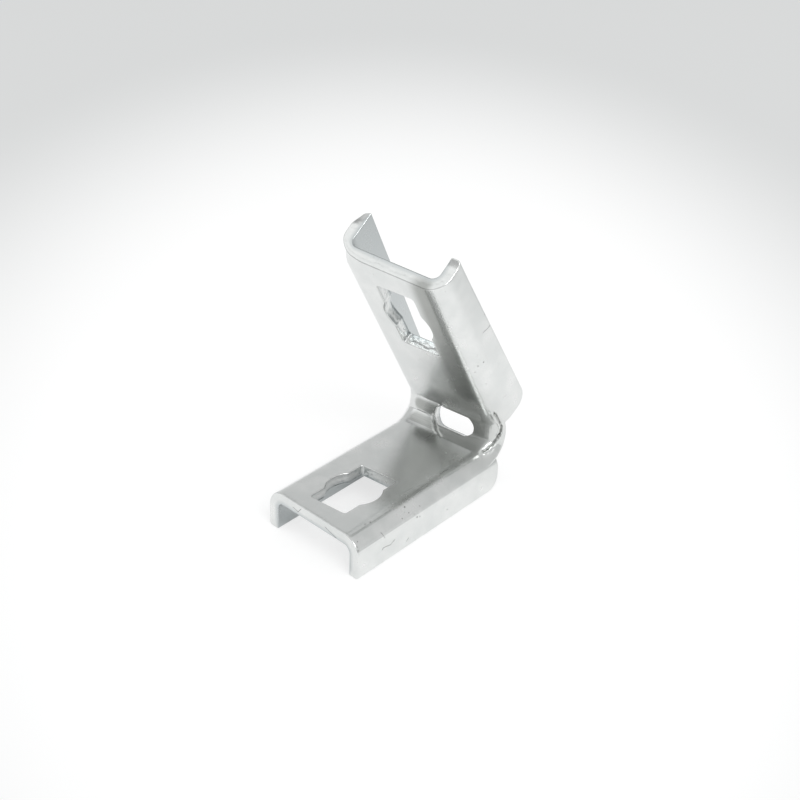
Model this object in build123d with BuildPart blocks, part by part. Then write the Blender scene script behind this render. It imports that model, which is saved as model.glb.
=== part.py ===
from build123d import *
from dataclasses import dataclass
from math import cos, radians, sin, tan
import os

# Driving dimensions: millimetres, and degrees for angles.

# The plate and the channel it is folded to. The web is the channel's middle. Its face on the inside
# of the fold is the mounting face, from which depths are measured.
plate_thickness = 4.0
channel_width = 40.0
flange_depth = 13.8
corner_inside_radius = 2.5

# The fold across the channel. Leg lengths run from the sharp corner where the two mounting faces
# would meet to the middle of each free end.
fold_angle = 60.0
fold_inside_radius = 5.5
lower_leg_length = 70.0
upper_leg_length = 79.3

# The free ends are sheared a few degrees off square, and the upper one leans out towards the
# flanges' free edges.
lower_end_skew = 6.0
upper_end_skew = 3.5
upper_end_lean = 5.0

# The flanges stop at a notch by the fold, with a large round on each free corner there. The notch's
# edge is straight for a short way between the channel's corner and that round. The free edges of the
# upper leg's flanges slant, one each way. Outside, all free edges are rolled over.
lower_flange_setback = 3.2
upper_flange_setback = 8.0
upper_flange_slant = 3.0
lower_notch_straight = 2.3
upper_notch_straight = 0.6
free_edge_radius = 1.2

# The punched holes: a rectangle along the leg, with a circle over its middle. The margin runs from
# the rectangle to the middle of the free end.
hole_width = 14.0
hole_circle_diameter = 17.8
hole_corner_radius = 1.0
lower_hole_length = 24.0
upper_hole_length = 28.0
lower_hole_margin = 6.5
upper_hole_margin = 9.5

# The slot across the fold, how much it flares towards the outside, and how far it lies from the
# middle of the bend: along the fold, and round it towards the upper leg.
slot_length = 15.7
slot_width = 7.4
slot_flare = 10.0
slot_shift = 1.7
slot_turn = 18.0

# Joined shapes share this much material, and cuts run this much past what they go through.
overlap = 1.0

# Edges count as lying on a face within this distance.
tolerance = 0.01

# Derived sizes
corner_outside_radius = corner_inside_radius + plate_thickness
fold_outside_radius = fold_inside_radius + plate_thickness
bend_start = fold_inside_radius / tan(radians(fold_angle / 2))
half_width = channel_width / 2
inner_half_width = half_width - plate_thickness
corner_depth = corner_outside_radius + overlap


@dataclass
class Leg:
    """One leg of the connector, in a plane at the sharp corner of the fold.

    The plane's X axis runs across the channel, its Y axis is the depth below the mounting face and
    its Z axis runs along the leg.
    """

    plane: Plane
    length: float
    end_skew: float
    end_lean: float
    flange_setback: float
    flange_slant: float
    notch_straight: float
    hole_length: float
    hole_margin: float

    def side_plane(self, across):
        """A plane along the leg with X along it, Y the depth and Z across, to the negative side."""
        origin = self.plane.origin + self.plane.x_dir * across
        return Plane(origin=origin, x_dir=self.plane.z_dir, z_dir=-self.plane.x_dir)

    def face_plane(self, distance):
        """A plane just off the mounting face with X along the leg and Z into the depth."""
        origin = self.plane.origin + self.plane.z_dir * distance - self.plane.y_dir * overlap
        return Plane(origin=origin, x_dir=self.plane.z_dir, z_dir=self.plane.y_dir)

    def end_plane(self):
        """The plane of the sheared free end, facing away from the fold."""
        skew = radians(self.end_skew)
        facing = self.plane.x_dir * sin(skew) + self.plane.z_dir * cos(skew)
        facing -= self.plane.y_dir * tan(radians(self.end_lean))
        return Plane(origin=self.plane.origin + self.plane.z_dir * self.length, z_dir=facing)

    def rough_length(self):
        """The length before the end is sheared, past the furthest corner of the free end."""
        skewed = half_width * tan(radians(self.end_skew))
        leaning = 2 * flange_depth * tan(radians(self.end_lean))
        return self.length + skewed + leaning + overlap

    def free_edge_depth(self, distance, side):
        """The depth of a flange's free edge; side is the sign of the flange's place across."""
        middle = (self.length + self.flange_setback) / 2
        return flange_depth + side * tan(radians(self.flange_slant)) * (middle - distance)

    def notch_corner_radius(self):
        """The round at the notch, set by the shallower of the two flanges."""
        return self.free_edge_depth(self.flange_setback, -1) - corner_outside_radius - self.notch_straight

    def outer_free_edges(self, edges):
        """The outer edges of the flanges' free sides, where they are well clear of the corners."""
        found = []
        for edge in edges:
            ends = [self.plane.to_local_coords(edge.position_at(share)) for share in (0, 1)]
            across = min(abs(end.X) for end in ends)
            depth = min(end.Y for end in ends)
            if across > half_width - tolerance and depth > corner_outside_radius + free_edge_radius:
                found.append(edge)
        return found


lower_leg = Leg(
    plane=Plane(origin=(0, 0, 0), x_dir=(0, 1, 0), z_dir=(-1, 0, 0)),
    length=lower_leg_length,
    end_skew=lower_end_skew,
    end_lean=0.0,
    flange_setback=lower_flange_setback,
    flange_slant=0.0,
    notch_straight=lower_notch_straight,
    hole_length=lower_hole_length,
    hole_margin=lower_hole_margin,
)
upper_leg = Leg(
    plane=Plane(
        origin=(0, 0, 0),
        x_dir=(0, -1, 0),
        z_dir=(-cos(radians(fold_angle)), 0, sin(radians(fold_angle))),
    ),
    length=upper_leg_length,
    end_skew=upper_end_skew,
    end_lean=upper_end_lean,
    flange_setback=upper_flange_setback,
    flange_slant=upper_flange_slant,
    notch_straight=upper_notch_straight,
    hole_length=upper_hole_length,
    hole_margin=upper_hole_margin,
)

# The channel's web and corners, as a cross-section with Y into the depth
with BuildSketch() as web_section:
    Rectangle(channel_width, corner_depth, align=(Align.CENTER, Align.MIN))
    fillet(web_section.vertices().group_by(Axis.Y)[0], radius=corner_outside_radius)
    with Locations((0, plate_thickness)):
        Rectangle(2 * inner_half_width, corner_depth, align=(Align.CENTER, Align.MIN), mode=Mode.SUBTRACT)
    fillet(web_section.vertices().group_by(Axis.Y)[1], radius=corner_inside_radius)

# The flanges' own share of that section, without the web
with BuildSketch() as flange_section:
    Rectangle(channel_width, corner_depth, align=(Align.CENTER, Align.MIN))
    fillet(flange_section.vertices().group_by(Axis.Y)[0], radius=corner_outside_radius)
    Rectangle(2 * inner_half_width, corner_depth, align=(Align.CENTER, Align.MIN), mode=Mode.SUBTRACT)

# At the fold the channel is narrowed to a neck: the web alone, with the start of its corners.
with BuildSketch() as neck_section:
    add(web_section.sketch)
    Rectangle(channel_width, plate_thickness, align=(Align.CENTER, Align.MIN), mode=Mode.INTERSECT)

fold_centre = Vector(-bend_start, 0, fold_inside_radius)
fold_axis = Axis(origin=fold_centre, direction=(0, -1, 0))

with BuildPart() as folded:
    for leg in (lower_leg, upper_leg):
        with BuildSketch(leg.plane.offset(bend_start)):
            add(web_section.sketch)
        extrude(amount=leg.rough_length() - bend_start)

        with BuildSketch(leg.plane.offset(leg.flange_setback)):
            add(flange_section.sketch)
        extrude(amount=leg.rough_length() - leg.flange_setback)

        for side, across in ((1, half_width), (-1, -inner_half_width)):
            with BuildSketch(leg.side_plane(across)) as flange:
                with BuildLine():
                    Polyline(
                        (leg.flange_setback, corner_outside_radius),
                        (leg.flange_setback, leg.free_edge_depth(leg.flange_setback, side)),
                        (leg.rough_length(), leg.free_edge_depth(leg.rough_length(), side)),
                        (leg.rough_length(), corner_outside_radius),
                        close=True,
                    )
                make_face()
                notch_corners = flange.vertices().sort_by(Axis.X)[:2]
                fillet(notch_corners.sort_by(Axis.Y)[-1], radius=leg.notch_corner_radius())
            extrude(amount=plate_thickness)

        split(bisect_by=leg.end_plane(), keep=Keep.BOTTOM)

        hole_centre = leg.length - leg.hole_margin - leg.hole_length / 2
        with BuildSketch(leg.face_plane(hole_centre)):
            RectangleRounded(leg.hole_length, hole_width, hole_corner_radius)
            Circle(hole_circle_diameter / 2)
        extrude(amount=plate_thickness + 2 * overlap, mode=Mode.SUBTRACT)

    with BuildSketch(lower_leg.plane.offset(bend_start)):
        add(neck_section.sketch)
    revolve(axis=fold_axis, revolution_arc=180 - fold_angle)

    # The slot's sketch lies just inside the bend, facing out, so that it cuts the bend alone.
    slot_lean = radians(slot_turn - fold_angle / 2)
    slot_way = Vector(cos(slot_lean), 0, sin(slot_lean))
    slot_origin = fold_centre + slot_way * (fold_inside_radius - overlap)
    with BuildSketch(Plane(origin=slot_origin, x_dir=(0, 1, 0), z_dir=slot_way)):
        with Locations((-slot_shift, 0)):
            SlotOverall(slot_length, slot_width)
    extrude(amount=plate_thickness + 2 * overlap, taper=-slot_flare, mode=Mode.SUBTRACT)

    for leg in (lower_leg, upper_leg):
        fillet(leg.outer_free_edges(folded.edges()), radius=free_edge_radius)

# The connector stands on the lower leg's free edges, with its origin under the middle of its box.
standing_box = folded.part.bounding_box()
with BuildPart() as angle_connector:
    with Locations((-standing_box.center().X, -standing_box.center().Y, -standing_box.min.Z)):
        add(folded.part)

os.makedirs("parts", exist_ok=True)
angle_connector.part.label = "angle_connector"
export_step(angle_connector.part, "parts/angle_connector.step")
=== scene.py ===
"""An angle connector of thick zinc-plated plate, folded to a V of 60 degrees, on a pale floor."""

import logging
import math
from dataclasses import dataclass
from enum import Enum
from typing import Any

import bmesh
import bpy
import numpy as np
from mathutils import Matrix, Vector
from mathutils.bvhtree import BVHTree


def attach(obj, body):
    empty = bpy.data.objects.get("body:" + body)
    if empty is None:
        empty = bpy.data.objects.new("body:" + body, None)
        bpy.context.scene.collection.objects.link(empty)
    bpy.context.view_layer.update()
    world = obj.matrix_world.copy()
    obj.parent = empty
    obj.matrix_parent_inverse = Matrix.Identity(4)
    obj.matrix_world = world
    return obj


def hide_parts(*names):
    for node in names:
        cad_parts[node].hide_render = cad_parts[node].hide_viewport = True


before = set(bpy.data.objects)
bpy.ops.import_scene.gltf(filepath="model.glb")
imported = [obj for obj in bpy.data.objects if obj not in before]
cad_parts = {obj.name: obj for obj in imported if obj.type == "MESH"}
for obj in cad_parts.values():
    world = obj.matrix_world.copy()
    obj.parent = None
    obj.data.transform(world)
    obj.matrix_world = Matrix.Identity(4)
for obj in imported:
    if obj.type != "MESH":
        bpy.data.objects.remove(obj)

LOG = logging.getLogger("angle_connector")
MM = 0.001
FAR_MM = 99.0
SMOOTH = {"interpolation_type": "SMOOTHSTEP"}
COLOURS = {"out": 2, "data_type": "RGBA"}
STORED = {"through": "FLOAT", "hold": "FLOAT", "tear": "FLOAT", "rim": "FLOAT_VECTOR"}

Point = tuple[float, float, float]
Span = tuple[float, float]
Colour = tuple[float, float, float, float]
Socket = bpy.types.NodeSocket
Face = bmesh.types.BMFace


class Grid(Enum):
    """Which grid a face of the plate is cut to."""

    CUT_LOWER = 1
    CUT_UPPER = 2
    BEND = 3
    CRACK = 4
    SKIN_LOWER = 5
    SKIN_UPPER = 6


def linear(hex_colour: str) -> Colour:
    """Turns an sRGB hex colour into linear RGBA.

    Args:
        hex_colour: six hex digits after a hash.

    Returns:
        The linear colour with an alpha of 1.
    """
    digits = hex_colour.lstrip("#")
    parts = [int(digits[i : i + 2], 16) / 255 for i in (0, 2, 4)]
    lin = [p / 12.92 if p <= 0.04045 else ((p + 0.055) / 1.055) ** 2.4 for p in parts]
    return (lin[0], lin[1], lin[2], 1.0)


class NodeGraph:
    """A node tree that is being built."""

    def __init__(self, tree: bpy.types.NodeTree) -> None:
        """Takes the tree that gets the nodes."""
        self.tree = tree

    def add(self, kind: str, inputs: Any = (), out: int | str = 0, **settings: Any) -> Any:
        """Adds one node with its settings and links.

        Args:
            kind: the node's type name, without ShaderNode, then its operation where it has one.
            inputs: values and sockets for its inputs, in their order or by name or number.
            out: the number or name of the output that is wanted.
            settings: the node's own settings.

        Returns:
            That output, or None from a node without outputs.
        """
        kind, _, operation = kind.partition(" ")
        whole = kind.startswith(("GeometryNode", "NodeGroup"))
        node = self.tree.nodes.new(kind if whole else "ShaderNode" + kind)
        if operation:
            node.operation = operation
        for name, value in settings.items():
            setattr(node, name, value)
        for name, value in inputs.items() if isinstance(inputs, dict) else enumerate(inputs):
            if isinstance(value, bpy.types.NodeSocket):
                self.tree.links.new(value, node.inputs[name])
            else:
                node.inputs[name].default_value = value
        return node.outputs[out] if node.outputs else None


@dataclass
class Finish(NodeGraph):
    """A finish of the real object, as the graph of its material.

    Sizes are in millimetres. A mask is a value from 0 to 1.
    """

    name: str

    def __post_init__(self) -> None:
        """Makes the material, empty but for its coordinates in millimetres."""
        self.made = bpy.data.materials.new(self.name)
        self.made.use_nodes = True
        self.made.node_tree.nodes.clear()
        super().__init__(self.made.node_tree)
        self.mm = self.add("VectorMath SCALE", {0: self.add("TexCoord", out="Object"), "Scale": 1 / MM})


@dataclass(frozen=True)
class PaintedReflectionBand:
    """A stretch of painted dark reflection along a straight line, fading out at its sides. Sizes in
    millimetres.
    """

    start: Point
    end: Point
    full: float
    faded: float
    amount: float


@dataclass(frozen=True)
class Hairlines:
    """Rolling and handling lines, as noise drawn out one way. Sizes in millimetres, turns in radians."""

    sizes: Point
    turn: Point
    threshold: float


# Where the clearer scratches and pits are, and the bands of painted dark reflection, in millimetres in the
# part's own frame
SCRATCHES: tuple[tuple[Point, ...], ...] = (
    ((-28.7, -20.0, 6.0), (-27.7, -20.0, 5.9), (-25.2, -20.0, 5.4), (-23.3, -20.0, 6.3)),
    ((-28.5, -18.9, 11.0), (-27.7, -19.7, 9.1)),
    ((-17.6, -20.0, 2.8), (-16.6, -20.0, 3.5)),
    ((15.4, -20.0, 61.4), (17.7, -20.0, 62.1)),
    ((17.7, -20.0, 62.1), (18.9, -20.0, 62.9)),
    ((12.6, -11.5, 47.9), (12.9, -14.8, 47.8), (13.5, -15.9, 47.2)),
    ((5.1, -14.3, 13.8), (7.3, -14.1, 13.8), (9.4, -14.5, 13.7)),
    ((-36.8, 9.0, 11.6), (-37.0, 6.7, 11.0), (-37.2, 5.3, 12.7)),
    ((-38.3, -5.4, 11.7), (-38.6, -8.1, 10.9), (-38.8, -10.3, 10.3)),
)
PITS: tuple[Point, ...] = (
    (-29.4, -15.4, 13.5), (-31.4, -15.1, 13.6), (-15.4, -17.0, 12.8), (-15.3, -18.6, 11.3),
    (-18.6, -18.9, 11.0), (-13.5, -19.3, 10.3), (-12.6, -19.8, 9.0), (-11.3, -19.8, 8.7),
    (-10.0, -18.6, 11.3), (2.1, -20.0, 4.6), (-37.9, -17.9, 12.1), (-39.1, -18.7, 11.2),
    (-39.3, -19.3, 10.2), (-28.9, -20.0, 5.7), (12.0, -15.2, 13.6), (16.9, -19.9, 50.8),
    (15.1, -19.1, 49.8), (18.2, -19.0, 44.4), (19.9, -19.1, 41.6), (15.1, -18.1, 47.4),
)
# Bands of painted dark reflection on the webs and the bend's flats.
UPPER_WEB_BAND = PaintedReflectionBand((19.5, -10.5, 36.0), (-5.7, -13.4, 79.6), 1.8, 6.8, 1.0)
UPPER_FLAT_BAND = PaintedReflectionBand((27.5, 4.0, 19.1), (27.5, 12.5, 19.1), 1.2, 2.8, 0.85)
LOWER_FLAT_BAND = PaintedReflectionBand((25.3, 4.0, 15.3), (25.3, 12.5, 15.3), 1.0, 2.8, 0.75)
LOWER_WEB_BAND = PaintedReflectionBand((19.0, 1.0, 13.8), (-13.0, -12.0, 13.8), 2.0, 12.5, 0.85)


@dataclass
class ZincSkin(Finish):
    """The bright zinc plating all over the plate: mottled, scratched and pitted, with painted shade in the
    fold and in the crack grooves, and bands of painted dark reflection.
    """

    name: str = "zinc_plated_steel"
    light: str = "#E6E7E6"
    dull: str = "#DBDDDC"
    # Painted shade: the darker tint deep in the fold.
    fold_shade_tint: str = "#B8BAB7"
    # Painted reflection: the tint of the bands.
    band: str = "#A3A5A2"
    inside: str = "#BDC2C3"
    # The colour of the real scratches, pits and lines, also used to paint shade into the crack grooves.
    mark_and_groove_shade: str = "#5E605D"
    roughness: float = 0.23
    mottle: float = 9.09
    grain: float = 0.5556
    scratch_width: float = 0.19
    pit_width: float = 0.40
    pit_spacing: float = 2.381
    pit_group: float = 14.29
    fold: Point = (27.0, -7.0, 20.0)
    fold_reach: Point = (34.0, 15.0, 34.0)
    bands: tuple[PaintedReflectionBand, ...] = (UPPER_WEB_BAND, UPPER_FLAT_BAND, LOWER_FLAT_BAND, LOWER_WEB_BAND)
    band_side: Span = (-17.0, -14.5)
    hairlines: tuple[Hairlines, ...] = (
        Hairlines((20.0, 0.3846, 2.857), (0.2, 0.5, 0.35), 0.72),
        Hairlines((1.111, 16.67, 0.4545), (0.4, -0.3, 0.8), 0.74),
    )

    def material(self) -> bpy.types.Material:
        """Builds the plated steel.

        Returns:
            The material.
        """
        # Bright zinc plated over rolled steel: a slightly blurred mirror with soft clouds in it. The real
        # grain is finer than the picture shows, so it is drawn half a millimetre wide.
        clouds = {"Vector": self.mm, "Scale": 1 / self.mottle, "Detail": 4.0, "Roughness": 0.55}
        mottle = self.add("TexNoise", clouds)
        fine = {"Vector": self.mm, "Scale": 1 / self.grain, "Detail": 3.0, "Roughness": 0.6}
        grain = self.add("TexNoise", fine)
        lines = self.fine_lines()
        marks = self.add("Math MAXIMUM", (self.scratches(), self.pits()))
        # The crack attribute is painted shade in the grooves of the cracks and press lines.
        crack = self.add("Attribute", out="Fac", attribute_name="crack")
        broken = self.add("Math MAXIMUM", (marks, crack))
        through = self.add("Attribute", out="Fac", attribute_name="through")
        inside = self.add("MapRange", (through, 0.5, 0.95), **SMOOTH)
        cloudy = self.add("MapRange", (mottle, 0.35, 0.68), **SMOOTH)
        colour = self.add("Mix", {0: cloudy, 6: linear(self.dull), 7: linear(self.light)}, **COLOURS)
        # Layers: painted shade in the fold, painted dark reflections in bands, the cut faces' own tint, the
        # real lines, then real scratches and pits with painted shade in the crack grooves.
        layers = ((self.fold_shade_share(), 0.8, self.fold_shade_tint), (self.painted_reflection_share(), 1.0, self.band),
                  (inside, 0.8, self.inside), (lines, 0.24, self.mark_and_groove_shade), (broken, 0.85, self.mark_and_groove_shade))
        for mask, amount, tint in layers:
            share = self.add("Math MULTIPLY", (mask, amount))
            colour = self.add("Mix", {0: share, 6: colour, 7: linear(tint)}, **COLOURS)
        worn = self.add("Math MAXIMUM", (lines, marks))
        smoothest, roughest = self.roughness - 0.03, self.roughness + 0.05
        even_rough = self.add("MapRange", (mottle, 0.3, 0.7, smoothest, roughest), **SMOOTH)
        rough = self.add("Math MULTIPLY_ADD", (worn, 0.14, even_rough))
        raised = self.add("Math MULTIPLY", (grain, 0.35))
        shallow = self.add("Math MULTIPLY", (lines, 0.4))
        sunk = self.add("Math MAXIMUM", (shallow, marks))
        height = self.add("Math SUBTRACT", (raised, sunk))
        bump = self.add("Bump", {"Strength": 0.12, "Distance": 0.06 * MM, "Height": height})
        named = {"Base Color": colour, "Metallic": 1.0, "Roughness": rough, "Normal": bump}
        self.add("OutputMaterial", (self.add("BsdfPrincipled", named),))
        return self.made

    def fine_lines(self) -> Socket:
        """The fine rolling and handling lines all over the plate.

        Returns:
            A mask that is 1 on a line.
        """
        mask: Any = 0.0
        for lines in self.hairlines:
            scale = tuple(1 / size for size in lines.sizes)
            drawn_out = self.add("Mapping", {"Vector": self.mm, "Rotation": lines.turn, "Scale": scale})
            value = self.add("TexNoise", {"Vector": drawn_out, "Scale": 1.0})
            peaks = self.add("MapRange", (value, lines.threshold, lines.threshold + 0.08), **SMOOTH)
            mask = self.add("Math MAXIMUM", (mask, peaks))
        return mask

    def fold_shade_share(self) -> Socket:
        """How deep in the fold a point lies, where painted shade darkens the plating.

        Returns:
            A mask that is 1 in the fold and 0 out on the legs.
        """
        offset = self.add("VectorMath SUBTRACT", (self.mm, self.fold))
        scaled = self.add("VectorMath DIVIDE", (offset, self.fold_reach))
        away = self.add("VectorMath LENGTH", (scaled,), out="Value")
        return self.add("MapRange", (away, 1.15, 0.25), **SMOOTH)

    def painted_reflection_share(self) -> Socket:
        """The bands of painted dark reflection on the two webs and on the bend's flats, up to the near
        corners.

        Returns:
            A mask that is 1 in a band and fades out at its sides.
        """
        mask: Any = 0.0
        for band in self.bands:
            away = self.away_from(band.start, band.end)
            share = self.add("MapRange", (away, band.faded, band.full, 0.0, band.amount), **SMOOTH)
            mask = self.add("Math MAXIMUM", (mask, share))
        across = self.add("SeparateXYZ", (self.mm,), out="Y")
        on_web = self.add("MapRange", (across, *self.band_side), **SMOOTH)
        return self.add("Math MULTIPLY", (mask, on_web))

    def away_from(self, start: Point, end: Point) -> Socket:
        """How far points lie from a straight line.

        Args:
            start: where the line starts.
            end: where it ends.

        Returns:
            The distance in millimetres.
        """
        run = Vector(end) - Vector(start)
        offset = self.add("VectorMath SUBTRACT", (self.mm, start))
        along = self.add("VectorMath DOT_PRODUCT", (offset, run / run.length_squared), out="Value")
        share = self.add("Clamp", (along,))
        place = self.add("VectorMath SCALE", {0: run, "Scale": share})
        return self.add("VectorMath DISTANCE", (offset, place), out="Value")

    def scratches(self) -> Socket:
        """The scratches at their places, each along a short path.

        Returns:
            A mask that is 1 in a scratch.
        """
        nearest: Any = FAR_MM
        for path in SCRATCHES:
            for start, end in zip(path, path[1:]):
                nearest = self.add("Math MINIMUM", (nearest, self.away_from(start, end)))
        value = self.add("TexNoise", {"Vector": self.mm, "Scale": 2.6, "Detail": 3.0, "Roughness": 0.7})
        ragged = self.add("Math MULTIPLY_ADD", (value, 0.22, nearest))
        return self.add("MapRange", (ragged, self.scratch_width + 0.12, 0.5 * self.scratch_width), **SMOOTH)

    def pits(self) -> Socket:
        """The dark pits at their places, and a few loose groups of smaller ones.

        Returns:
            A mask that is 1 inside a pit.
        """
        nearest: Any = FAR_MM
        for place in PITS:
            away = self.add("VectorMath DISTANCE", (self.mm, place), out="Value")
            nearest = self.add("Math MINIMUM", (nearest, away))
        value = self.add("TexNoise", {"Vector": self.mm, "Scale": 1.5, "Detail": 4.0, "Roughness": 0.75})
        ragged = self.add("Math MULTIPLY_ADD", (value, 1.1, nearest))
        large = self.add("MapRange", (ragged, self.pit_width + 0.50, self.pit_width + 0.15), **SMOOTH)
        spread = {"Vector": self.mm, "Scale": 1 / self.pit_spacing, "Randomness": 1.0}
        cells = self.add("TexVoronoi", spread, out="Distance")
        rim = self.add("TexNoise", {"Vector": self.mm, "Scale": 3.0})
        small_away = self.add("Math MULTIPLY_ADD", (rim, 0.08, cells))
        small = self.add("MapRange", (small_away, 0.105, 0.07), **SMOOTH)
        value = self.add("TexNoise", {"Vector": self.mm, "Scale": 1 / self.pit_group, "Detail": 1.0})
        groups = self.add("MapRange", (value, 0.50, 0.62), **SMOOTH)
        grouped = self.add("Math MULTIPLY", (small, groups))
        faint = self.add("Math MULTIPLY", (grouped, 0.8))
        return self.add("Math MAXIMUM", (large, faint))


@dataclass
class PaleFloor(Finish):
    """The matt white floor: seen pale, with the object's soft shadow, and a painted falloff of light that
    makes it a little greyer further off.
    """

    name: str = "pale_floor"
    white: str = "#FFFFFF"
    grey: str = "#D9DADA"
    seen_matt: float = 0.38
    seen_glow: float = 0.68
    mirrored_matt: float = 0.85
    mirrored_glow: float = 0.26
    white_reach: float = 0.55
    grey_reach: float = 1.5
    reach: Point = (170.0, 300.0, 1000.0)
    middle: Point = (50.0, 40.0, 0.0)
    turn: float = math.radians(51)

    def material(self) -> bpy.types.Material:
        """Builds the floor's finish.

        Returns:
            The material.
        """
        # Matt white studio paper: even and without gloss, partly lit from itself so that it stays pale.
        placed = self.add("VectorMath SUBTRACT", (self.mm, self.middle))
        turned = self.add("Mapping", {"Vector": placed, "Rotation": (0.0, 0.0, self.turn)})
        per_reach = tuple(1 / r for r in self.reach)
        scaled = self.add("VectorMath MULTIPLY", (turned, per_reach))
        away = self.add("VectorMath LENGTH", (scaled,), out="Value")
        # Painted falloff of light: the colour turns greyer away from the middle.
        share = self.add("MapRange", (away, self.white_reach, self.grey_reach), **SMOOTH)
        colour = self.add("Mix", {0: share, 6: linear(self.white), 7: linear(self.grey)}, **COLOURS)
        camera = self.add("LightPath", out="Is Camera Ray")
        seen = self.add("Math MAXIMUM", (camera, self.add("LightPath", out="Is Transmission Ray")))
        mirrored = self.add("LightPath", out="Is Glossy Ray")
        glow: Any = 0.0
        taken: Any = 0.0
        for kind, matt_share, glow_share in ((seen, self.seen_matt, self.seen_glow),
                                             (mirrored, self.mirrored_matt, self.mirrored_glow)):
            glow = self.add("Math MULTIPLY_ADD", (kind, glow_share, glow))
            taken = self.add("Math MULTIPLY_ADD", (kind, 1 - matt_share, taken))
        matt_colour = self.add("Mix", {0: taken, 6: colour, 7: (0.0, 0.0, 0.0, 1.0)}, **COLOURS)
        matt = self.add("BsdfDiffuse", {"Color": matt_colour, "Roughness": 0.0})
        pale = self.add("Emission", {"Color": colour, "Strength": glow})
        self.add("OutputMaterial", (self.add("AddShader", (matt, pale)),))
        return self.made


@dataclass(frozen=True)
class CutRelief:
    """The relief of the punched and sheared edges, made by Geometry Nodes along each edge's face."""

    land_share: float = 0.36
    land_wave: float = 0.75
    ledge: float = 0.10 * MM
    torn_depth: float = 0.34 * MM
    streak_depth: float = 0.06 * MM
    grains_per_mm: float = 1.1
    waves_per_mm: float = 0.55
    streaks_per_mm: float = 1.7
    seed: int = 7

    def inputs(self) -> dict[str, float]:
        """The tree's inputs by name, with this relief's values."""
        return {"Land share": self.land_share, "Ledge": self.ledge, "Torn depth": self.torn_depth,
                "Streak depth": self.streak_depth, "Grain": self.grains_per_mm, "Seed": float(self.seed)}

    def uneven(self, g: NodeGraph, vector: Socket, per_mm: Any, detail: float, seed: Socket) -> Socket:
        """Noise about zero, from about -0.5 to 0.5.

        Args:
            g: the graph of the tree.
            vector: coordinates in millimetres.
            per_mm: how many features come to a millimetre.
            detail: how many finer layers it has.
            seed: what shifts the noise.

        Returns:
            The value.
        """
        named = {"Vector": vector, "W": seed, "Scale": per_mm, "Detail": detail, "Roughness": 0.62}
        value = g.add("TexNoise", named, noise_dimensions="4D")
        return g.add("Math SUBTRACT", (value, 0.5))

    def tree(self, finish: bpy.types.Material) -> bpy.types.NodeTree:
        """Builds the node tree.

        Args:
            finish: the plate's finish.

        Returns:
            A geometry tree with inputs for its depths, its grain and its seed.
        """
        tree = bpy.data.node_groups.new("cut_relief", "GeometryNodeTree")
        tree.interface.new_socket("Geometry", in_out="INPUT", socket_type="NodeSocketGeometry")
        for name in self.inputs():
            tree.interface.new_socket(name, in_out="INPUT", socket_type="NodeSocketFloat")
        tree.interface.new_socket("Geometry", in_out="OUTPUT", socket_type="NodeSocketGeometry")
        g = NodeGraph(tree)
        given = g.add("NodeGroupInput").node.outputs
        stored: dict[str, Socket] = {}
        for name, kind in STORED.items():
            stored[name] = g.add("GeometryNodeInputNamedAttribute", (name,), "Attribute", data_type=kind)
        in_mm = g.add("VectorMath SCALE", {0: g.add("GeometryNodeInputPosition"), "Scale": 1 / MM})
        wave = self.uneven(g, stored["rim"], self.waves_per_mm, 4.0, given["Seed"])
        land_end = g.add("Math MULTIPLY_ADD", (wave, self.land_wave, given["Land share"]))
        beyond = g.add("Math SUBTRACT", (stored["through"], land_end))
        torn = g.add("MapRange", (beyond, -0.02, 0.05), **SMOOTH)
        torn_here = g.add("Math MULTIPLY", (torn, stored["tear"]))
        grains = self.uneven(g, in_mm, given["Grain"], 5.0, given["Seed"])
        rough = g.add("Math MULTIPLY", (grains, given["Torn depth"]))
        sunk = g.add("Math SUBTRACT", (rough, given["Ledge"]))
        torn_height = g.add("Math MULTIPLY", (sunk, torn_here))
        streaks = self.uneven(g, stored["rim"], self.streaks_per_mm, 3.0, given["Seed"])
        height = g.add("Math MULTIPLY_ADD", (streaks, given["Streak depth"], torn_height))
        held = g.add("Math MULTIPLY", (height, stored["hold"]))
        offset = g.add("VectorMath SCALE", {0: g.add("GeometryNodeInputNormal"), "Scale": held})
        moved = g.add("GeometryNodeSetPosition", {"Geometry": given["Geometry"], "Offset": offset})
        real = g.add("GeometryNodeRealizeInstances", (moved,))
        plated = g.add("GeometryNodeSetMaterial", {"Geometry": real, "Material": finish})
        g.add("NodeGroupOutput", (plated,))
        return tree

    def apply(self, piece: bpy.types.Object, finish: bpy.types.Material) -> None:
        """Adds the tree to a piece as a modifier, with this relief's values.

        Args:
            piece: the object that carries the stored attributes.
            finish: the plate's finish.
        """
        tree = self.tree(finish)
        modifier = piece.modifiers.new("cut_relief", "NODES")
        modifier.node_group = tree
        values = self.inputs()
        for item in tree.interface.items_tree:
            if item.item_type == "SOCKET" and item.in_out == "INPUT" and item.name in values:
                modifier[item.identifier] = values[item.name]


@dataclass(frozen=True)
class LegFrame:
    """One leg's own directions, from the sharp corner of the fold."""

    corner: Vector
    along: Vector
    depth: Vector

    def place(self, point: Vector) -> tuple[float, float]:
        """How far along the leg a point lies, and how deep below its mounting face."""
        offset = point - self.corner
        return offset.dot(self.along), offset.dot(self.depth)


def eased(values: np.ndarray, low: float, high: float) -> np.ndarray:
    """A smooth step from 0 at low to 1 at high."""
    share = np.clip((values - low) / (high - low), 0.0, 1.0)
    return share * share * (3 - 2 * share)


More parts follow.
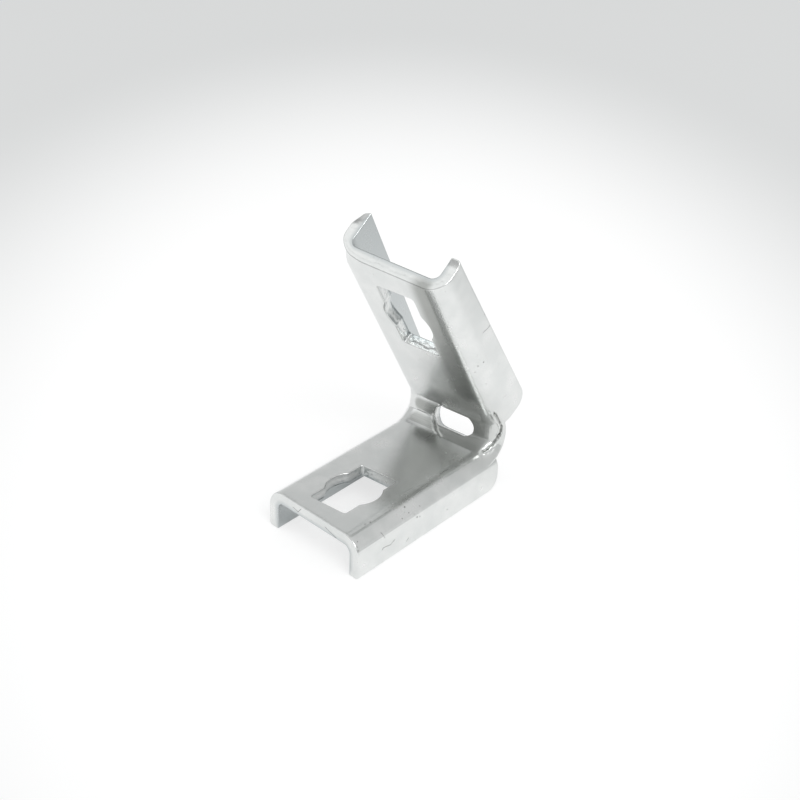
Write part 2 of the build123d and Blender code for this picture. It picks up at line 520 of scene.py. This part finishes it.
@dataclass(frozen=True)
class PressedBend:
    """The two flats that the press leaves on the inside of the fold, sharper beside the slot."""

    axis: Vector
    toward_fold: Vector
    inside_radius: float
    plate: float
    half_turn: float = math.radians(60)
    slot_y: float = -1.7 * MM
    fade: float = 0.22
    fade_reach: float = 16 * MM
    plates_deep: float = 1.3

    def moved(self, points: np.ndarray) -> np.ndarray:
        """Moves points in the bend in towards the flats, less and less through the plate.

        Args:
            points: vertex positions, one row each.

        Returns:
            The moved positions.
        """
        offset = points - np.array(self.axis)
        offset[:, 1] = 0.0
        radius = np.maximum(np.linalg.norm(offset, axis=1), 1e-5)
        middle = np.array(self.toward_fold)
        side = np.array((-middle[2], 0.0, middle[0]))
        angle = np.arctan2(offset @ side, offset @ middle)
        furthest = self.inside_radius + self.plates_deep * self.plate
        in_bend = (np.abs(angle) < self.half_turn) & (radius < furthest)
        flat_turn = self.half_turn / 2
        chord = self.inside_radius * math.cos(flat_turn) / np.cos(np.abs(angle) - flat_turn)
        share = 1.0 - self.fade * np.clip(np.abs(points[:, 1] - self.slot_y) / self.fade_reach, 0, 1)
        through = np.clip((radius - self.inside_radius) / self.plate, 0, 1)
        inward = (self.inside_radius - chord) * share * (1 - through)
        scale = np.where(in_bend, 1 - inward / radius, 1.0)
        return points + offset * (scale - 1)[:, None]


@dataclass(frozen=True)
class Crack:
    """A crack along a path in the skin, with a raised lip beside it and painted shade in its groove. Sizes
    in millimetres.

    The last three are shares of the width: where the lip's top lies, how broad the lip is, and how far the
    painted shade in the crack reaches.
    """

    path: tuple[Point, ...]
    depth: float
    width: float
    lip: float
    lip_way: Point
    wave: float = 0.11
    lip_place: float = 1.9
    lip_spread: float = 0.9
    dark_spread: float = 0.75

    def measured(self, points: np.ndarray) -> tuple[np.ndarray, np.ndarray]:
        """How far points lie from the path, and how far towards the lip's side.

        Args:
            points: positions in millimetres.

        Returns:
            The distances, and the signed distances towards the lip.
        """
        x, y, z = points.T
        waves = [np.sin(z * 3.1 + y), np.sin(z * 2.3 + x * 1.7), np.sin(x * 2.9)]
        wave = np.column_stack(waves) * self.wave
        best = np.full(len(points), FAR_MM)
        toward = np.zeros(len(points))
        way = np.array(Vector(self.lip_way).normalized())
        for start, end in zip(self.path, self.path[1:]):
            first, run = np.array(start), np.array(end) - np.array(start)
            offset = points + wave - first
            share = np.clip(offset @ run / (run @ run), 0, 1)
            apart = offset - share[:, None] * run
            distance = np.linalg.norm(apart, axis=1)
            closer = distance < best
            best = np.where(closer, distance, best)
            toward = np.where(closer, apart @ way, toward)
        return best, toward

    def height(self, points: np.ndarray) -> tuple[np.ndarray, np.ndarray]:
        """The crack's relief.

        Args:
            points: positions in millimetres.

        Returns:
            How far each point rises, in millimetres, and how much painted shade it gets, from 0 to 1.
        """
        distance, toward = self.measured(points)
        groove = np.exp(-((distance / self.width) ** 2))
        from_lip = (distance - self.lip_place * self.width) / (self.lip_spread * self.width)
        beside = np.exp(-(from_lip**2)) * (toward > 0)
        dark = np.exp(-((distance / (self.dark_spread * self.width)) ** 2))
        return self.lip * beside - self.depth * groove, dark


# The cracked crease at the near end of the fold, the slot's torn lip, and the line that the press left, each
# with painted shade in its groove
UPPER_CREASE = Crack(((26.2, -18.0, 28.2), (28.4, -18.5, 25.2), (30.8, -18.8, 21.0), (30.4, -18.3, 18.6)),
                     0.60, 0.34, 0.26, (-0.6, 0.8, 0.0))
LOWER_CREASE = Crack(((30.4, -18.3, 18.6), (29.8, -18.0, 17.4), (27.7, -17.1, 15.0), (25.1, -16.3, 13.6)),
                     0.55, 0.34, 0.28, (0.3, -0.9, 0.1))
SLOT_LIP = Crack(((24.4, -1.0, 27.4), (27.2, 2.6, 22.8), (29.2, 6.4, 18.0), (28.2, 6.4, 16.4),
                  (25.2, 3.5, 14.4), (22.5, -0.4, 13.8)), 0.32, 0.30, 0.22, (0.0, 1.0, 0.0))
FAR_FOLD_LINE = Crack(((27.5, 13.2, 22.1), (27.2, 2.6, 22.6)), 0.16, 0.30, 0.0, (0.0, 0.0, 1.0))
NEAR_FOLD_LINE = Crack(((26.4, -9.5, 24.0), (26.9, -16.5, 24.5)), 0.16, 0.30, 0.0, (0.0, 0.0, 1.0))
CRACKS = (UPPER_CREASE, LOWER_CREASE, SLOT_LIP, FAR_FOLD_LINE, NEAR_FOLD_LINE)


@dataclass(frozen=True)
class DrawnEnds:
    """How shearing drew the upper leg's end: a longer near tip, a rolled far tip and far corner.

    Each pair is where a form starts and where it is full: back from the end, across, or down a flange.
    """

    leg: LegFrame
    length: float = 79.3 * MM
    wall_y: float = 14 * MM
    wall: Span = (16 * MM, 20 * MM)
    tip_back: Span = (9 * MM, 1 * MM)
    near_deep: Span = (8.5 * MM, 13.8 * MM)
    far_deep: Span = (10.0 * MM, 15.8 * MM)
    corner_back: float = 5 * MM
    corner_across: Span = (8 * MM, 17 * MM)
    corner_deep: Span = (8 * MM, 1 * MM)
    near_longer: float = 1.5 * MM
    near_thinner: float = 0.9 * MM
    far_shorter: float = 1.1 * MM
    far_rolled: float = 0.8 * MM
    corner_rolled: float = 0.9 * MM

    def moved(self, points: np.ndarray, through: np.ndarray) -> np.ndarray:
        """Moves the points near the end.

        Args:
            points: vertex positions, one row each.
            through: how far through the plate each point lies, 0 on the mounting face's side.

        Returns:
            The moved positions.
        """
        offset = points - np.array(self.leg.corner)
        along = np.array(self.leg.along)
        depth = np.array(self.leg.depth)
        run, deep, across = offset @ along, offset @ depth, points[:, 1]
        at_end = eased(run, self.length - self.tip_back[0], self.length - self.tip_back[1])
        outside = eased(np.abs(across), *self.wall)
        near = at_end * eased(deep, *self.near_deep) * (across < -self.wall_y)
        far = at_end * eased(deep, *self.far_deep) * (across > self.wall_y) * outside
        corner = eased(run, self.length - self.corner_back, self.length) * eased(across, *self.corner_across)
        corner *= eased(-deep, -self.corner_deep[0], -self.corner_deep[1]) * (1 - np.clip(through, 0, 1))
        longer = self.near_longer * near - self.far_shorter * far
        result = points + along * longer[:, None] + depth * (self.corner_rolled * corner)[:, None]
        thinner = self.near_thinner * near * (1 - outside)
        result[:, 1] -= thinner + self.far_rolled * far + self.corner_rolled * corner
        return result


@dataclass
class FoldedPlate:
    """The folded plate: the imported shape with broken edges, torn cut faces and its plating."""

    node: str = "angle_connector"
    fold_angle: float = math.radians(60)
    depth: float = 13.8 * MM
    corner_x: float = 32.26 * MM
    plate: float = 4.0 * MM
    fold_radius: float = 5.5 * MM
    edge_round: float = 0.35 * MM
    relief_step: float = 0.30 * MM
    bend_step: float = 0.6 * MM
    crack_step: float = 0.28 * MM
    skin_step: float = 1.5 * MM
    crease: Point = (28.6 * MM, -18.0 * MM, 19.5 * MM)
    crease_reach: float = 8.5 * MM
    lip: Point = (27.0 * MM, 3.4 * MM, 19.0 * MM)
    lip_reach: float = 7.5 * MM
    sharp: float = math.radians(28)
    same_place: float = 0.002 * MM
    bevel_merge: float = 0.008 * MM
    lower_end: float = 66.5 * MM
    upper_end: float = 74.0 * MM
    punched_y: float = 11 * MM
    sheared_tear: float = 0.3
    held_edge: float = 0.3 * MM
    relief: CutRelief = CutRelief()

    def __post_init__(self) -> None:
        """Works out the legs' directions and the fold's axis."""
        corner = Vector((self.corner_x, 0, self.depth))
        turn = self.fold_angle
        self.lower = LegFrame(corner, Vector((-1, 0, 0)), Vector((0, 0, -1)))
        self.upper = LegFrame(corner, Vector((-math.cos(turn), 0, math.sin(turn))),
                              Vector((math.sin(turn), 0, math.cos(turn))))
        bend_start = self.fold_radius / math.tan(turn / 2)
        self.axis = corner + Vector((-bend_start, 0, self.fold_radius))
        self.toward_fold = (corner - self.axis).normalized()

    def merged(self, source: bpy.types.Object) -> bmesh.types.BMesh:
        """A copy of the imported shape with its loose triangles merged.

        Args:
            source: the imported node's object.

        Returns:
            The mesh, with flat faces whole.
        """
        bm = bmesh.new()
        bm.from_mesh(source.data)
        bmesh.ops.remove_doubles(bm, verts=bm.verts, dist=self.same_place)
        bmesh.ops.dissolve_degenerate(bm, edges=bm.edges, dist=self.same_place)
        bmesh.ops.dissolve_limit(bm, angle_limit=math.radians(0.4), verts=bm.verts, edges=bm.edges,
                                 use_dissolve_boundaries=False)
        bm.normal_update()
        return bm

    def regions(self, bm: bmesh.types.BMesh) -> list[list[Face]]:
        """Finds the faces that are joined by smooth edges.

        Args:
            bm: the merged shape.

        Returns:
            One list of faces for each region, the largest first.
        """
        bm.faces.ensure_lookup_table()
        seen: set[int] = set()
        found: list[list[Face]] = []
        for start in bm.faces:
            if start.index in seen:
                continue
            seen.add(start.index)
            stack, region = [start], []
            while stack:
                face = stack.pop()
                region.append(face)
                for other in (other for edge in face.edges for other in edge.link_faces):
                    if other.index not in seen and face.normal.angle(other.normal, 0.0) <= self.sharp:
                        seen.add(other.index)
                        stack.append(other)
            found.append(region)
        return sorted(found, key=lambda faces: -sum(f.calc_area() for f in faces))

    def skin_tree(self, region: list[Face]) -> BVHTree:
        """Makes a search tree over one rolled face of the plate.

        Args:
            region: the rolled face's faces.

        Returns:
            The tree.
        """
        points: list[Vector] = []
        polygons: list[list[int]] = []
        for face in region:
            start = len(points)
            points += [v.co.copy() for v in face.verts]
            polygons.append(list(range(start, len(points))))
        return BVHTree.FromPolygons(points, polygons)

    def leg_at(self, point: Vector) -> LegFrame:
        """Finds the leg whose web a point is nearer to.

        Args:
            point: a position in metres.

        Returns:
            That leg.
        """
        low = abs(self.lower.place(point)[1] - self.plate / 2)
        up = abs(self.upper.place(point)[1] - self.plate / 2)
        return self.lower if low < up else self.upper

    def broken(self, bm: bmesh.types.BMesh) -> bmesh.types.BMesh:
        """Rounds the sharp edges a little.

        Args:
            bm: the merged shape, which is used up.

        Returns:
            The rounded mesh.
        """
        original = BVHTree.FromBMesh(bm)
        weights = []
        for edge in bm.edges:
            sharp = edge.is_manifold and edge.is_convex and edge.calc_face_angle(0.0) > self.sharp
            weights.append(1.0 if sharp else 0.0)
        mesh = bpy.data.meshes.new("folded_plate_sharp")
        bm.to_mesh(mesh)
        bm.free()
        mesh.attributes.new("bevel_weight_edge", "FLOAT", "EDGE").data.foreach_set("value", weights)
        sharp_plate = bpy.data.objects.new("folded_plate_sharp", mesh)
        bpy.context.scene.collection.objects.link(sharp_plate)
        rounding = sharp_plate.modifiers.new("broken_edges", "BEVEL")
        rounding.limit_method = "WEIGHT"
        rounding.offset_type = "OFFSET"
        rounding.width = self.edge_round
        rounding.segments = 3
        rounding.use_clamp_overlap = False
        view = bpy.context.evaluated_depsgraph_get()
        result = bmesh.new()
        result.from_mesh(sharp_plate.evaluated_get(view).to_mesh())
        bpy.data.objects.remove(sharp_plate)
        # Where two bevels cross, a vertex can be thrown off the plate, and is put back on it.
        for vertex in result.verts:
            near, _, _, distance = original.find_nearest(vertex.co)
            if distance > 0.5 * self.edge_round:
                vertex.co = near
        bmesh.ops.remove_doubles(result, verts=result.verts, dist=self.bevel_merge)
        result.normal_update()
        return result

    def sliced(self, bm: bmesh.types.BMesh, faces: list[Face], origin: Vector, direction: Vector,
               low: float, high: float, step: float) -> None:
        """Cuts faces by parallel planes, halving the stretch each time.

        Args:
            bm: the mesh.
            faces: the faces to cut.
            origin: the point that levels are measured from.
            direction: the planes' normal.
            low: the lowest level.
            high: the highest level.
            step: the distance between planes.
        """
        if not faces or high - low < 1.5 * step:
            return
        level = low + round((high - low) / 2 / step) * step
        geometry: set[Any] = set(faces)
        for face in faces:
            geometry.update(face.edges)
            geometry.update(face.verts)
        cut = bmesh.ops.bisect_plane(bm, geom=list(geometry), dist=self.same_place,
                                     plane_co=origin + direction * level, plane_no=direction)
        below, above = [], []
        for part in cut["geom"]:
            if isinstance(part, bmesh.types.BMFace):
                side = (part.calc_center_median() - origin).dot(direction) - level
                (below if side < 0 else above).append(part)
        self.sliced(bm, below, origin, direction, low, level, step)
        self.sliced(bm, above, origin, direction, level, high, step)

    def by_crack(self, point: Vector, inner: BVHTree) -> bool:
        """Tells whether a point lies near the crease or the slot's torn lip, on the inside of the fold.

        Args:
            point: a position in metres.
            inner: the rolled face on the inside of the fold.

        Returns:
            Whether it does.
        """
        if inner.find_nearest(point)[3] >= 0.05 * MM:
            return False
        to_crease, to_lip = (point - Vector(self.crease)).length, (point - Vector(self.lip)).length
        return to_crease < self.crease_reach or to_lip < self.lip_reach

    def in_bend(self, point: Vector) -> bool:
        """Whether a point lies on the inside of the bend."""
        offset = Vector((point.x - self.axis.x, 0, point.z - self.axis.z))
        inside = offset.length < self.fold_radius + 0.3 * MM
        return inside and offset.dot(self.toward_fold) > 0.35 * offset.length

    def grid_of(self, face: Face, inner: BVHTree, outer: BVHTree) -> Grid:
        """Chooses the grid that a face is cut to.

        Args:
            face: one face of the plate.
            inner: the rolled face on the inside of the fold.
            outer: the rolled face on the outside.

        Returns:
            The grid.
        """
        centre = face.calc_center_median()
        apart = max(min(inner.find_nearest(v.co)[3], outer.find_nearest(v.co)[3]) for v in face.verts)
        low = self.leg_at(centre) is self.lower
        if apart > 0.08 * self.edge_round:
            return Grid.CUT_LOWER if low else Grid.CUT_UPPER
        if self.by_crack(centre, inner):
            return Grid.CRACK
        if self.in_bend(centre):
            return Grid.BEND
        return Grid.SKIN_LOWER if low else Grid.SKIN_UPPER

    def gridded(self, bm: bmesh.types.BMesh, inner: BVHTree, outer: BVHTree) -> None:
        """Cuts all faces to grids, fine on the cut edges, in the bend and by the cracks.

        Args:
            bm: the mesh with its broken edges.
            inner: the rolled face on the inside of the fold.
            outer: the rolled face on the outside.
        """
        layer = bm.faces.layers.int.new("grid")
        for face in bm.faces:
            face[layer] = self.grid_of(face, inner, outer).value
        corner = self.lower.corner
        across = Vector((0, 1, 0))
        turned = Vector((-self.toward_fold.z, 0, self.toward_fold.x))
        lower = (self.lower.along, self.lower.depth, across)
        upper = (self.upper.along, self.upper.depth, across)
        plan = ((Grid.CUT_LOWER, lower, self.relief_step),
                (Grid.CUT_UPPER, upper, self.relief_step),
                (Grid.BEND, (turned, across), self.bend_step),
                (Grid.CRACK, (Vector((1, 0, 0)), across, Vector((0, 0, 1))), self.crack_step),
                (Grid.SKIN_LOWER, lower, self.skin_step),
                (Grid.SKIN_UPPER, upper, self.skin_step))
        for grid, directions, step in plan:
            for direction in directions:
                faces = [f for f in bm.faces if f[layer] == grid.value]
                reach = [(v.co - corner).dot(direction) for f in faces for v in f.verts]
                if reach:
                    self.sliced(bm, faces, corner, direction, min(reach), max(reach), step)

    def build(self) -> bpy.types.Object:
        """Builds the plate with its finish.

        Returns:
            The finished piece, not yet riding on its body.
        """
        bm = self.merged(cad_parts[self.node])
        found = self.regions(bm)
        LOG.info("%d faces in %d regions", len(bm.faces), len(found))
        inner, outer = self.skin_tree(found[0]), self.skin_tree(found[1])
        bm = self.broken(bm)
        LOG.info("%d faces with broken edges", len(bm.faces))
        self.gridded(bm, inner, outer)
        bmesh.ops.triangulate(bm, faces=[f for f in bm.faces if len(f.verts) > 4])
        bm.normal_update()
        LOG.info("%d faces in their grids", len(bm.faces))
        mesh = bpy.data.meshes.new("folded_plate")
        bm.to_mesh(mesh)
        bm.free()
        self.store(mesh, inner, outer)
        self.shape(mesh)
        draft = bpy.data.objects.new("folded_plate_draft", mesh)
        bpy.context.scene.collection.objects.link(draft)
        self.relief.apply(draft, ZincSkin().material())
        smooth = draft.modifiers.new("even_normals", "WEIGHTED_NORMAL")
        smooth.mode = "FACE_AREA"
        smooth.weight = 50
        smooth.keep_sharp = False
        view = bpy.context.evaluated_depsgraph_get()
        final = bpy.data.meshes.new_from_object(draft.evaluated_get(view), depsgraph=view)
        bpy.data.objects.remove(draft)
        piece = bpy.data.objects.new("folded_plate", final)
        bpy.context.scene.collection.objects.link(piece)
        return piece

    def store(self, mesh: bpy.types.Mesh, inner: BVHTree, outer: BVHTree) -> None:
        """Stores what the relief and the finish read.

        At each vertex that is how far through the plate it lies, how free it is to move, how much the
        plate tears there, and the nearest point of the inner face.

        Args:
            mesh: the plate's mesh, cut to its grids.
            inner: the rolled face on the inside of the fold.
            outer: the rolled face on the outside.
        """
        count = len(mesh.vertices)
        values = {name: np.zeros(count * (3 if name == "rim" else 1), np.float32) for name in STORED}
        for index, vertex in enumerate(mesh.vertices):
            near, _, _, to_inner = inner.find_nearest(vertex.co)
            to_outer = outer.find_nearest(vertex.co)[3]
            clear = min(to_inner, to_outer) - 0.9 * self.edge_round
            punched = abs(vertex.co.y) < self.punched_y and not self.at_end(vertex.co)
            values["through"][index] = to_inner / max(to_inner + to_outer, 1e-9)
            values["hold"][index] = min(1.0, max(0.0, clear / self.held_edge))
            values["tear"][index] = 1.0 if punched else self.sheared_tear
            values["rim"][3 * index : 3 * index + 3] = near / MM
        for name, kind in STORED.items():
            stored = mesh.attributes.new(name, kind, "POINT").data
            stored.foreach_set("vector" if name == "rim" else "value", values[name])
        for face in mesh.polygons:
            face.use_smooth = True

    def at_end(self, point: Vector) -> bool:
        """Whether a point lies on one of the free ends."""
        return self.lower.place(point)[0] > self.lower_end or self.upper.place(point)[0] > self.upper_end

    def shape(self, mesh: bpy.types.Mesh) -> None:
        """Presses, draws and cracks the mesh as the plate was in its making.

        Args:
            mesh: the plate's mesh with its stored attributes.
        """
        count = len(mesh.vertices)
        points, normals, through = np.empty(count * 3), np.empty(count * 3), np.empty(count)
        mesh.vertices.foreach_get("co", points)
        mesh.vertex_normals.foreach_get("vector", normals)
        mesh.attributes["through"].data.foreach_get("value", through)
        points, normals = points.reshape(-1, 3), normals.reshape(-1, 3)
        on_skin = eased(1 - through, 0.80, 0.97)
        relief = np.zeros(count)
        dark = np.zeros(count)
        # Painted shade: each groove gets a darkening share, stored below as the crack attribute.
        for crack in CRACKS:
            height, shade = crack.height(points / MM)
            relief += height
            dark = np.maximum(dark, shade * min(1.0, crack.depth * 2.2))
        bend = PressedBend(self.axis, self.toward_fold, self.fold_radius, self.plate)
        points = bend.moved(points + normals * (relief * on_skin * MM)[:, None])
        points = DrawnEnds(self.upper).moved(points, through)
        mesh.attributes.new("crack", "FLOAT", "POINT").data.foreach_set("value", dark * on_skin)
        mesh.vertices.foreach_set("co", points.reshape(-1))
        mesh.update()


@dataclass(frozen=True)
class RoomArea:
    """A lighter or darker area of the room: its direction, its half width in degrees and its strength."""

    way: Point
    spread: float
    amount: float


@dataclass
class Studio:
    """The floor, the soft lights and the camera."""

    floor_size: float = 3.0
    camera_place: Point = (-0.33100651, -0.26779921, 0.28030317)
    camera_right: Point = (0.64004644, -0.76774105, 0.03023626)
    camera_up: Point = (0.36454309, 0.33808128, 0.86764588)
    lens: float = 72.0
    sensor: float = 36.0
    room_colour: str = "#FDFEFE"
    room_level: float = 0.72
    room_darkest: float = 0.02
    room_lightest: float = 1.15
    areas: tuple[RoomArea, ...] = (
        RoomArea((-0.34, 0.50, 0.79), 29, 0.62),
        RoomArea((0.20, 0.50, 0.84), 24, -0.38),
        RoomArea((-0.68, 0.52, 0.50), 22, -0.32),
    )
    lamp_place: Point = (-0.35, -0.85, 0.95)
    lamp_aim: Point = (0.0, 0.0, 0.03)
    lamp_size: float = 0.7
    lamp_watts: float = 6.0

    def floor(self) -> None:
        """Lays the floor."""
        half = self.floor_size / 2
        corners = [(-half, -half, 0), (half, -half, 0), (half, half, 0), (-half, half, 0)]
        mesh = bpy.data.meshes.new("floor")
        mesh.from_pydata(corners, [], [(0, 1, 2, 3)])
        mesh.materials.append(PaleFloor().material())
        floor = bpy.data.objects.new("floor", mesh)
        bpy.context.scene.collection.objects.link(floor)

    def world(self) -> None:
        """Sets the soft room light: an even grey, with broad lighter and darker areas by direction."""
        world = bpy.data.worlds.new("studio")
        world.use_nodes = True
        world.node_tree.nodes.clear()
        g = NodeGraph(world.node_tree)
        way = g.add("TexCoord", out="Generated")
        level: Any = self.room_level
        for area in self.areas:
            middle = Vector(area.way).normalized()
            facing = g.add("VectorMath DOT_PRODUCT", (way, middle), out="Value")
            rim = math.cos(math.radians(area.spread))
            share = g.add("MapRange", (facing, rim, 1.0, 0.0, area.amount), **SMOOTH)
            level = g.add("Math ADD", (level, share))
        level = g.add("Clamp", (level, self.room_darkest, self.room_lightest))
        light = g.add("Background", {"Color": linear(self.room_colour), "Strength": level})
        g.add("OutputWorld", (light,))
        bpy.context.scene.world = world

    def lamp(self) -> None:
        """Hangs the square soft lamp that faces the object from the front."""
        data = bpy.data.lights.new("front_softbox", "AREA")
        data.size = self.lamp_size
        data.energy = self.lamp_watts
        lamp = bpy.data.objects.new("front_softbox", data)
        lamp.location = self.lamp_place
        aim = Vector(self.lamp_aim) - Vector(self.lamp_place)
        lamp.rotation_euler = aim.to_track_quat("-Z", "Y").to_euler()
        bpy.context.scene.collection.objects.link(lamp)

    def camera(self) -> None:
        """Places the camera at the photograph's angle."""
        data = bpy.data.cameras.new("camera")
        data.lens = self.lens
        data.sensor_width = self.sensor
        data.sensor_fit = "HORIZONTAL"
        data.clip_start = 0.01
        camera = bpy.data.objects.new("camera", data)
        right, up = Vector(self.camera_right), Vector(self.camera_up)
        matrix = Matrix((right, up, right.cross(up))).transposed().to_4x4()
        matrix.translation = Vector(self.camera_place)
        camera.matrix_world = matrix
        bpy.context.scene.collection.objects.link(camera)
        bpy.context.scene.camera = camera

    def build(self) -> None:
        """Sets up the whole studio."""
        bpy.context.scene.view_settings.view_transform = "Standard"
        self.floor()
        self.world()
        self.lamp()
        self.camera()


def main() -> None:
    """Builds the connector and its studio, and logs the piece's face count."""
    logging.basicConfig(level=logging.INFO, format="%(message)s")
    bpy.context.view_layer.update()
    plate = FoldedPlate()
    piece = plate.build()
    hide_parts(plate.node)
    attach(piece, "root")
    LOG.info("%s: %d faces", piece.name, len(piece.data.polygons))
    Studio().build()


if __name__ == "__main__":
    main()
